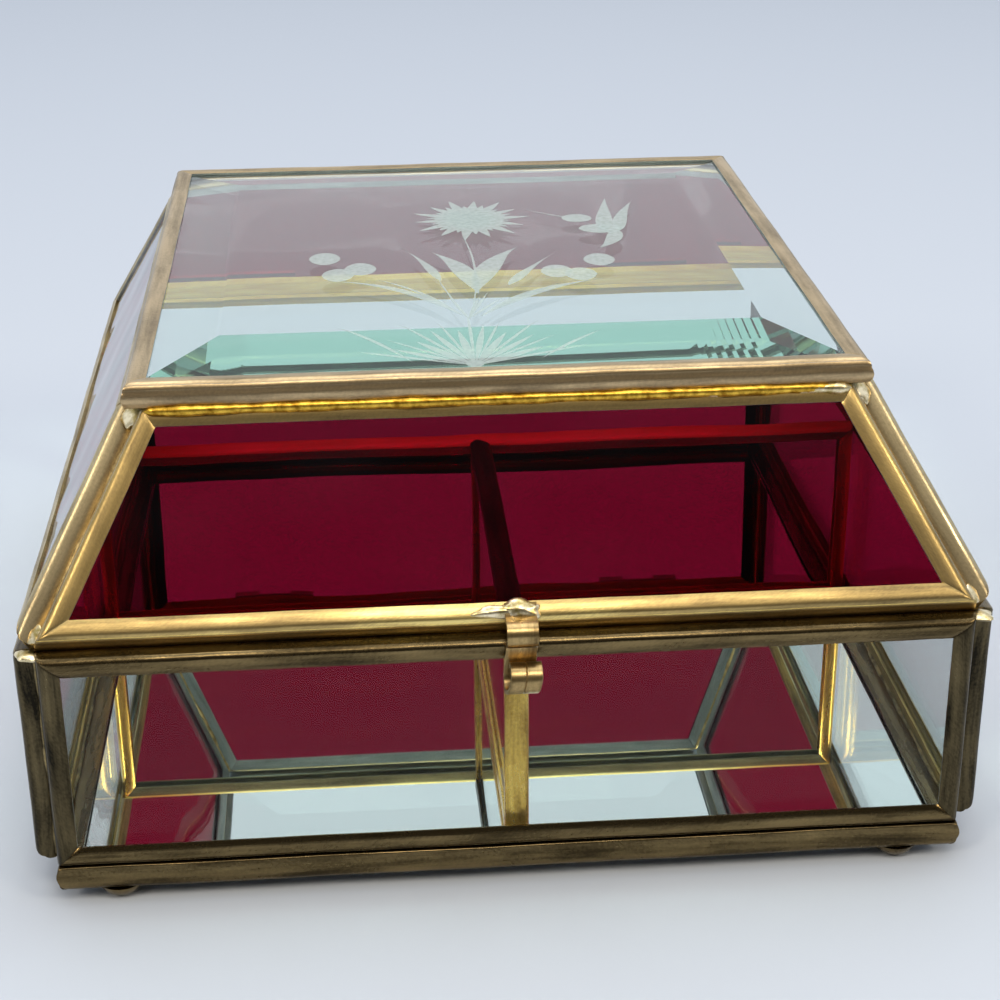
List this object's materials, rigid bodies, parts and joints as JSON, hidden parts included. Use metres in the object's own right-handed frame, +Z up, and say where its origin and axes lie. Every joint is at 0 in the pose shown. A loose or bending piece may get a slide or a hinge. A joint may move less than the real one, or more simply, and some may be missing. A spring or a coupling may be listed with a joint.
{
  "type": "lidded glass box",
  "caption": "Lidded glass casket: clear panes in folded brass channels on a mirror floor with dividers, and a hinged hipped lid of ruby glass round a bevelled top pane.",
  "frame": {"origin": "middle of the footprint, on the surface the feet stand on", "axes": "+Z up, +X to the right as seen from the front, the catch faces -Y and the hinges are at +Y"},
  "size_m": [0.18, 0.207, 0.0965],
  "materials": {
    "brass": "thin folded brass sheet, lacquered, satin with fine scratches",
    "solder": "brass-plated solder, uneven and bright",
    "clear_glass": "clear, polished",
    "ruby_glass": "dark ruby, transparent, polished",
    "bevelled_glass": "clear, bevelled, with a frosted wheel-cut picture",
    "mirror": "silvered glass"
  },
  "bodies": {
    "box": {"floor_mirror": "mirror", "floor_came": "brass", "front_wall_glass": "clear_glass", "front_wall_came": "brass", "back_wall_glass": "clear_glass", "back_wall_came": "brass", "left_wall_glass": "clear_glass", "left_wall_came": "brass", "right_wall_glass": "clear_glass", "right_wall_came": "brass", "partition_glass": "clear_glass", "partition_came": "brass", "divider_glass": "clear_glass", "divider_came": "brass", "foot_front_left": "brass", "foot_front_right": "brass", "foot_back_left": "brass", "foot_back_right": "brass", "hinge_left_wall_leaf": "brass", "hinge_left_pin": "brass", "hinge_right_wall_leaf": "brass", "hinge_right_pin": "brass", "solder_wall_front_left": "solder", "solder_wall_front_right": "solder", "solder_wall_back_left": "solder", "solder_wall_back_right": "solder", "solder_base_left": "solder", "solder_base_right": "solder"},
    "lid": {"lid_front_glass": "ruby_glass", "lid_front_came": "brass", "lid_back_glass": "ruby_glass", "lid_back_came": "brass", "lid_left_glass": "ruby_glass", "lid_left_came": "brass", "lid_right_glass": "ruby_glass", "lid_right_came": "brass", "lid_top_glass": "bevelled_glass", "lid_top_came": "brass", "catch": "brass", "hinge_left_lid_leaf": "brass", "hinge_right_lid_leaf": "brass", "solder_hip_front_left": "solder", "solder_hip_front_right": "solder", "solder_hip_back_left": "solder", "solder_hip_back_right": "solder", "solder_top_front": "solder", "solder_top_back": "solder", "solder_top_left": "solder", "solder_top_right": "solder"}
  },
  "joints": [
    {"name": "lid_hinge", "type": "hinge", "parent": "box", "child": "lid", "pos_m": [0, 0.10055, 0.0534], "axis": [-1, 0, 0], "range_deg": [0, 100]}
  ]
}
